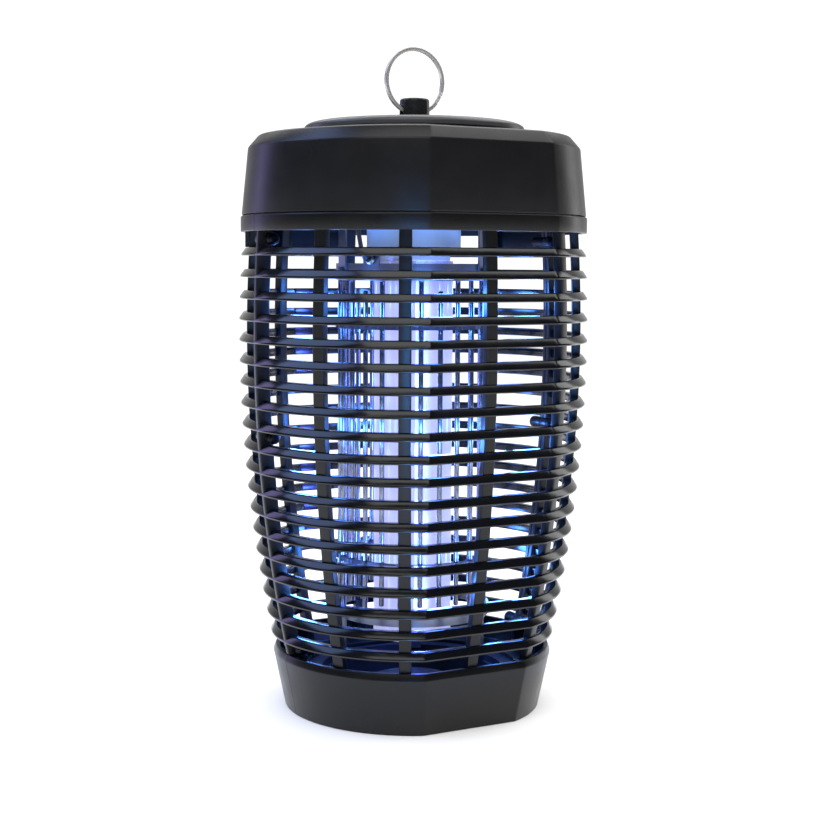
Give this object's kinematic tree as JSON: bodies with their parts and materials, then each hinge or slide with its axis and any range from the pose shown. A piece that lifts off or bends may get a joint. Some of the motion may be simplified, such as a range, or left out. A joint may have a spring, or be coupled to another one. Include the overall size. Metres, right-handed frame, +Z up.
{
  "type": "electric bug zapper",
  "caption": "Hanging electric insect killer: louvred barrel cage around ultraviolet lamps and a high-voltage rod grid, with a hanging ring and a drop-out tray",
  "frame": {"origin": "on the lantern's upright axis, at the level of the skirt's bottom edge", "axes": "+Z up; -Y is the front, towards the flat front facet; +X to the right when looking at the front"},
  "size_m": [0.2076, 0.1908, 0.3923],
  "materials": {
    "housing_plastic": "satin",
    "disc_plastic": "satin",
    "shell_plastic": "satin",
    "slat_plastic": "satin gloss",
    "polished_steel": "polished",
    "zinc_steel": "bright zinc",
    "grid_steel": "plain drawn",
    "spacer_plastic": "matt",
    "holder_plastic": "matt",
    "lamp_glass": "glossy phosphor-coated tube",
    "pan_plastic": "satin",
    "tray_plastic": "satin",
    "board_laminate": "solder mask",
    "core_iron": "varnished",
    "winding_copper": "taped",
    "capacitor_sleeve": "gloss",
    "diode_body": "gloss",
    "fuse_glass": "clear",
    "ballast_metal": "satin",
    "gland_rubber": "matt",
    "live_wire": "silicone",
    "return_wire": "silicone",
    "lamp_wire": "vinyl",
    "mains_wire": "vinyl"
  },
  "bodies": {
    "lantern": {"top_housing": "housing_plastic", "top_disc": "disc_plastic", "hanger_post": "disc_plastic", "hanger_washer": "zinc_steel", "hanger_nut": "zinc_steel", "chassis_plate": "housing_plastic", "front_frame": "shell_plastic", "front_slats": "slat_plastic", "rear_frame": "shell_plastic", "rear_slats": "slat_plastic", "lamp_shroud": "spacer_plastic", "lamp_socket_a": "holder_plastic", "lamp_socket_b": "holder_plastic", "lamp_cap_a": "holder_plastic", "lamp_cap_b": "holder_plastic", "uv_lamp_a": "lamp_glass", "uv_lamp_b": "lamp_glass", "live_grid_ring": "grid_steel", "live_grid_rods": "grid_steel", "return_grid_ring": "grid_steel", "return_grid_rods": "grid_steel", "upper_grid_spacer": "spacer_plastic", "lower_grid_spacer": "spacer_plastic", "grid_hangers": "grid_steel", "grid_legs": "grid_steel", "grid_screws": "zinc_steel", "base_pan": "pan_plastic", "base_screws": "zinc_steel", "shell_screws": "zinc_steel", "flange_screws": "zinc_steel", "housing_screws": "zinc_steel", "shroud_screws": "zinc_steel", "circuit_board": "board_laminate", "board_posts": "housing_plastic", "board_screws": "zinc_steel", "transformer_core": "core_iron", "transformer_coil": "winding_copper", "hv_capacitors": "capacitor_sleeve", "hv_diodes": "diode_body", "fuse": "fuse_glass", "ballast_a": "ballast_metal", "ballast_b": "ballast_metal", "terminal_block": "holder_plastic", "cord_gland": "gland_rubber", "gland_nut": "gland_rubber", "hv_lead_live": "live_wire", "hv_lead_return": "return_wire", "lamp_leads": "lamp_wire", "mains_leads": "mains_wire"},
    "hanging_ring": {"hanger_ring": "polished_steel"},
    "tray": {"debris_tray": "tray_plastic"}
  },
  "joints": [
    {"name": "ring_swing", "type": "hinge", "parent": "lantern", "child": "hanging_ring", "pos_m": [0, 0, 0.3553], "axis": [1, 0, 0], "range_deg": [-98, 98]},
    {"name": "tray_drop", "type": "slide", "parent": "lantern", "child": "tray", "axis": [0, 0, -1], "range_m": [0, 0.045]}
  ]
}
